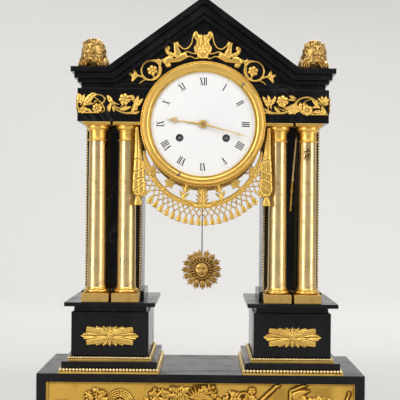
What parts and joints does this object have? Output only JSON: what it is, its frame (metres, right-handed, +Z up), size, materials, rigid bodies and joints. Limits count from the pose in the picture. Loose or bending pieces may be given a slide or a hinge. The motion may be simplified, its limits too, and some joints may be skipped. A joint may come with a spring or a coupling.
{
  "type": "portico table clock",
  "caption": "Black marble portico clock with gilt columns, pediment, round enamel dial, drapery mount, sunburst pendulum and a spring-driven going and striking movement.",
  "frame": {"origin": "middle of the underside of the feet", "axes": "+Z up, the dial faces -Y, +X to the right of a viewer who looks at the dial"},
  "size_m": [0.395, 0.15, 0.5406],
  "materials": {
    "black_marble": "polished",
    "gilt_bronze": "matte gilding",
    "burnished_gilt": "burnished gilding",
    "brass": "satin",
    "steel": "satin",
    "bell_metal": "turned",
    "enamel": "glossy"
  },
  "bodies": {
    "case": {"feet": "gilt_bronze", "base_plinth": "black_marble", "base_relief": "gilt_bronze", "pedestal_bead_frames": "gilt_bronze", "pedestal_steps": "black_marble", "pedestal_dies": "black_marble", "pedestal_caps": "black_marble", "pedestal_rosettes": "gilt_bronze", "column_bases": "gilt_bronze", "column_shafts": "burnished_gilt", "column_capitals": "gilt_bronze", "tie_rods": "steel", "rear_piers": "black_marble", "pier_bead_frames": "gilt_bronze", "staff_mount": "gilt_bronze", "architraves": "black_marble", "frieze_blocks": "black_marble", "frieze_scrolls": "gilt_bronze", "cornice_bands": "black_marble", "cornice_fillets": "black_marble", "cornice_mouldings": "black_marble", "cornice_slabs": "black_marble", "tympanum": "black_marble", "pediment_mount": "gilt_bronze", "lions": "gilt_bronze", "side_drapes": "gilt_bronze", "swag": "gilt_bronze", "drum_case": "brass", "case_screws": "steel", "bezel": "burnished_gilt", "dial_plate": "brass", "dial": "enamel", "front_plate": "brass", "back_plate": "brass", "plate_pillars": "brass", "ratchet_clicks": "steel", "back_cocks": "brass", "bell": "bell_metal"},
    "minute_hand": {"minute_hand": "burnished_gilt", "cannon_pinion": "steel"},
    "minute_wheel": {"minute_wheel": "brass"},
    "hour_hand": {"hour_hand": "burnished_gilt", "hour_wheel": "brass"},
    "going_barrel": {"going_barrel": "brass"},
    "intermediate_wheel": {"intermediate_wheel": "brass"},
    "centre_wheel": {"centre_wheel": "brass"},
    "third_wheel": {"third_wheel": "brass"},
    "escape_wheel": {"escape_wheel": "brass"},
    "pallet_anchor": {"pallet_anchor": "steel"},
    "pendulum": {"pendulum_rod": "steel", "pendulum_bob": "gilt_bronze"},
    "going_winding_arbor": {"going_winding_arbor": "steel"},
    "strike_barrel": {"strike_barrel": "brass"},
    "strike_winding_arbor": {"strike_winding_arbor": "steel"},
    "pin_wheel": {"pin_wheel": "brass"},
    "gathering_wheel": {"gathering_wheel": "brass"},
    "warning_wheel": {"warning_wheel": "brass"},
    "fly": {"fly": "brass"},
    "hammer": {"hammer": "steel"},
    "back_door": {"back_door": "brass"}
  },
  "joints": [
    {"name": "minute_hand_turn", "type": "hinge", "parent": "case", "child": "minute_hand", "pos_m": [0, -0.025, 0.387], "axis": [0, 1, 0], "continuous": true},
    {"name": "minute_wheel_turn", "type": "hinge", "parent": "case", "child": "minute_wheel", "pos_m": [0, -0.025, 0.399], "axis": [0, 1, 0], "continuous": true},
    {"name": "hour_hand_turn", "type": "hinge", "parent": "case", "child": "hour_hand", "pos_m": [0, -0.025, 0.387], "axis": [0, 1, 0], "continuous": true},
    {"name": "third_wheel_turn", "type": "hinge", "parent": "case", "child": "third_wheel", "pos_m": [-0.00455, -0.025, 0.4065], "axis": [0, 1, 0], "continuous": true},
    {"name": "going_barrel_turn", "type": "hinge", "parent": "case", "child": "going_barrel", "pos_m": [0.0282, -0.025, 0.3701], "axis": [0, 1, 0], "continuous": true},
    {"name": "intermediate_wheel_turn", "type": "hinge", "parent": "case", "child": "intermediate_wheel", "pos_m": [0.0208, -0.025, 0.39135], "axis": [0, 1, 0], "continuous": true},
    {"name": "centre_wheel_turn", "type": "hinge", "parent": "case", "child": "centre_wheel", "pos_m": [0, -0.025, 0.387], "axis": [0, 1, 0], "continuous": true},
    {"name": "escape_wheel_turn", "type": "hinge", "parent": "case", "child": "escape_wheel", "pos_m": [0, -0.025, 0.4235], "axis": [0, 1, 0], "continuous": true},
    {"name": "gathering_wheel_turn", "type": "hinge", "parent": "case", "child": "gathering_wheel", "pos_m": [-0.02635, -0.025, 0.40675], "axis": [0, 1, 0], "continuous": true},
    {"name": "strike_barrel_turn", "type": "hinge", "parent": "case", "child": "strike_barrel", "pos_m": [-0.0282, -0.025, 0.3701], "axis": [0, 1, 0], "continuous": true},
    {"name": "pin_wheel_turn", "type": "hinge", "parent": "case", "child": "pin_wheel", "pos_m": [-0.03016, -0.025, 0.39251], "axis": [0, 1, 0], "continuous": true},
    {"name": "warning_wheel_turn", "type": "hinge", "parent": "case", "child": "warning_wheel", "pos_m": [-0.02005, -0.025, 0.41766], "axis": [0, 1, 0], "continuous": true},
    {"name": "fly_turn", "type": "hinge", "parent": "case", "child": "fly", "pos_m": [-0.01635, -0.025, 0.42781], "axis": [0, 1, 0], "continuous": true},
    {"name": "pendulum_swing", "type": "hinge", "parent": "case", "child": "pendulum", "pos_m": [0, -0.025, 0.4345], "axis": [0, 1, 0], "range_deg": [-3, 3]},
    {"name": "anchor_rock", "type": "hinge", "parent": "case", "child": "pallet_anchor", "pos_m": [0, -0.025, 0.4345], "axis": [0, 1, 0], "range_deg": [-3, 3]},
    {"name": "going_winding", "type": "hinge", "parent": "case", "child": "going_winding_arbor", "pos_m": [0.0282, -0.025, 0.3701], "axis": [0, 1, 0], "range_deg": [0, 1800]},
    {"name": "strike_winding", "type": "hinge", "parent": "case", "child": "strike_winding_arbor", "pos_m": [-0.0282, -0.025, 0.3701], "axis": [0, 1, 0], "range_deg": [0, 1800]},
    {"name": "hammer_lift", "type": "hinge", "parent": "case", "child": "hammer", "pos_m": [-0.048, -0.025, 0.401], "axis": [0, 1, 0], "range_deg": [0, 12], "stiffness_Nm_per_rad": 0.002, "springref_deg": -11.46},
    {"name": "back_door_swing", "type": "hinge", "parent": "case", "child": "back_door", "pos_m": [-0.0755, 0.0667, 0.387], "axis": [0, 0, 1], "range_deg": [0, 110]}
  ],
  "couplings": [
    {"joint": "minute_wheel_turn", "follows": "minute_hand_turn", "ratio": -0.33333},
    {"joint": "hour_hand_turn", "follows": "minute_hand_turn", "ratio": 0.083333},
    {"joint": "centre_wheel_turn", "follows": "third_wheel_turn", "ratio": -0.083333},
    {"joint": "escape_wheel_turn", "follows": "third_wheel_turn", "ratio": -10.429},
    {"joint": "intermediate_wheel_turn", "follows": "third_wheel_turn", "ratio": 0.011111},
    {"joint": "going_barrel_turn", "follows": "third_wheel_turn", "ratio": -0.0013889},
    {"joint": "pin_wheel_turn", "follows": "gathering_wheel_turn", "ratio": -0.11667},
    {"joint": "strike_barrel_turn", "follows": "gathering_wheel_turn", "ratio": 0.014583},
    {"joint": "warning_wheel_turn", "follows": "gathering_wheel_turn", "ratio": -8},
    {"joint": "fly_turn", "follows": "gathering_wheel_turn", "ratio": 64},
    {"joint": "anchor_rock", "follows": "pendulum_swing", "ratio": 1}
  ]
}
